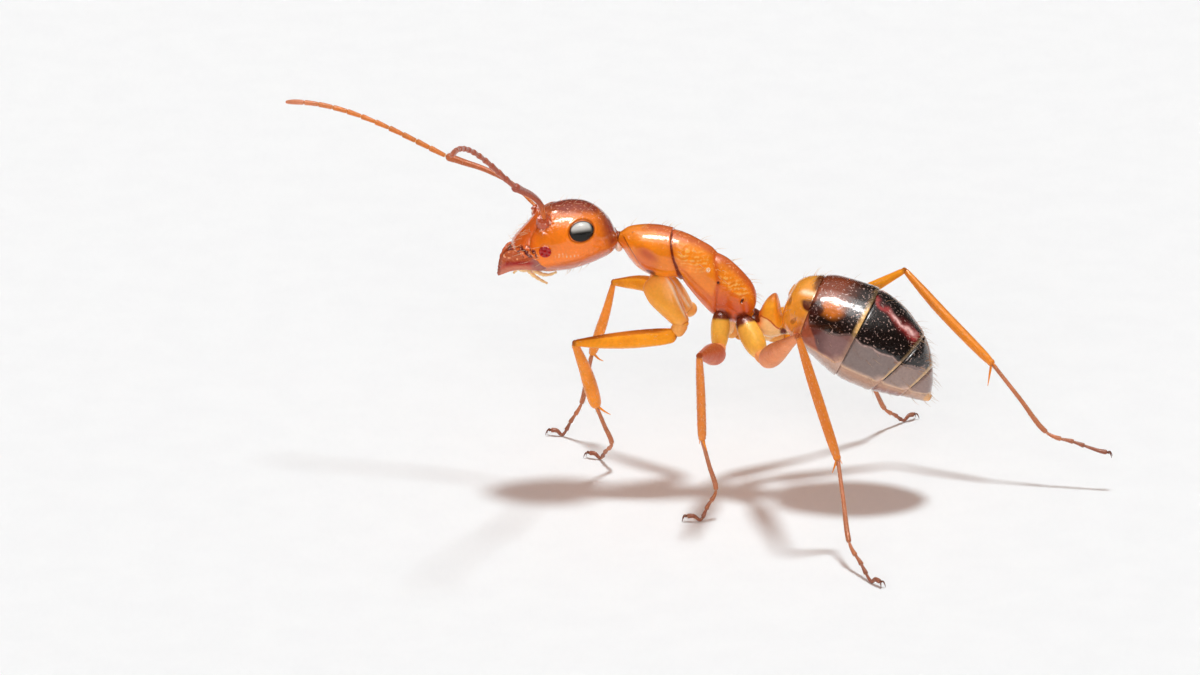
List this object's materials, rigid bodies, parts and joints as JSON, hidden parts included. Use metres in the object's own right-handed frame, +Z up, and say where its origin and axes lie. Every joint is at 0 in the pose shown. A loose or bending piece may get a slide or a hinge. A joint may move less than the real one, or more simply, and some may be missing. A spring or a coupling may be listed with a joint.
{
  "type": "carpenter ant",
  "caption": "Life-size still model of a slender amber-and-black carpenter ant worker walking, one rear foot lifted, feelers spread, resting on its feet",
  "frame": {"origin": "middle of the bounding box at floor level, under the body", "axes": "+X towards the tip of the gaster, so the head faces -X; +Y towards the ant's right side; +Z up"},
  "size_m": [0.0192, 0.0112, 0.0097],
  "materials": {
    "head_shell": "glossy amber-brown shell, redder on top and behind, orange in the middle of the face",
    "jaw": "glossy red-brown jaw with darker teeth",
    "eye": "black faceted eye with a clear gloss",
    "feeler": "orange, half gloss, finely downy",
    "trunk_shell": "glossy amber-orange shell with fine wrinkles and dark seams",
    "waist_scale": "orange-amber scale with a darker crest",
    "gaster_amber": "yellow-amber plate with a dark blotch, glossy",
    "gaster_brown": "brown plate with an orange blotch on each side, glossy",
    "gaster_dark": "black-brown plates with straw-coloured rear margins, very glossy",
    "hip": "pale yellow-orange, slightly translucent, half gloss",
    "leg": "orange, half gloss, with sparse fine hairs",
    "foot": "reddish-brown, half gloss, finely bristled"
  },
  "bodies": {
    "root": {"head": "head_shell", "eye_left": "eye", "mandible_left": "jaw", "scape_left": "feeler", "funiculus_left": "feeler", "eye_right": "eye", "mandible_right": "jaw", "scape_right": "feeler", "funiculus_right": "feeler", "neck": "trunk_shell", "pronotum": "trunk_shell", "mesothorax": "trunk_shell", "propodeum": "trunk_shell", "petiole": "waist_scale", "gaster_1": "gaster_amber", "gaster_2": "gaster_brown", "gaster_3": "gaster_dark", "gaster_4": "gaster_dark", "gaster_5": "gaster_dark", "coxa_fore_left": "hip", "femur_fore_left": "leg", "tibia_fore_left": "leg", "tarsus_fore_left": "foot", "coxa_fore_right": "hip", "femur_fore_right": "leg", "tibia_fore_right": "leg", "tarsus_fore_right": "foot", "coxa_mid_left": "hip", "femur_mid_left": "leg", "tibia_mid_left": "leg", "tarsus_mid_left": "foot", "coxa_mid_right": "hip", "femur_mid_right": "leg", "tibia_mid_right": "leg", "tarsus_mid_right": "foot", "coxa_hind_left": "hip", "femur_hind_left": "leg", "tibia_hind_left": "leg", "tarsus_hind_left": "foot", "coxa_hind_right": "hip", "femur_hind_right": "leg", "tibia_hind_right": "leg", "tarsus_hind_right": "foot"}
  },
  "joints": []
}
